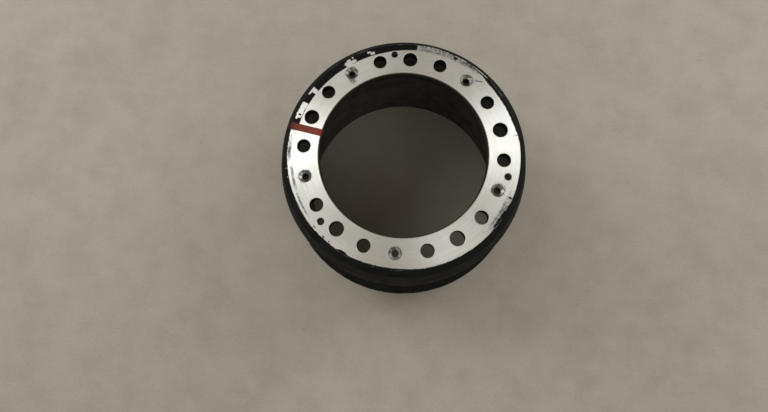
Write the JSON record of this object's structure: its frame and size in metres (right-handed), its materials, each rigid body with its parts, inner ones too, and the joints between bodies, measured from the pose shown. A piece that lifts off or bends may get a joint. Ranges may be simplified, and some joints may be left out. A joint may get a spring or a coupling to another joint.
{
  "type": "brake drum",
  "caption": "Cast iron truck brake drum: an open cylinder with a stiffening band, a tapered shoulder and a wide machined mounting flange with stud, screw and forcing holes.",
  "frame": {"origin": "centre of the open end, in the plane that the drum rests on", "axes": "+Z along the drum's axis from the open end to the wheel face; one retaining-screw hole lies on -Y"},
  "size_m": [0.4676, 0.4674, 0.313],
  "materials": {
    "drum_iron": "black paint on the casting, with a bare turned wheel face"
  },
  "bodies": {
    "root": {"brake_drum": "drum_iron"}
  },
  "joints": []
}
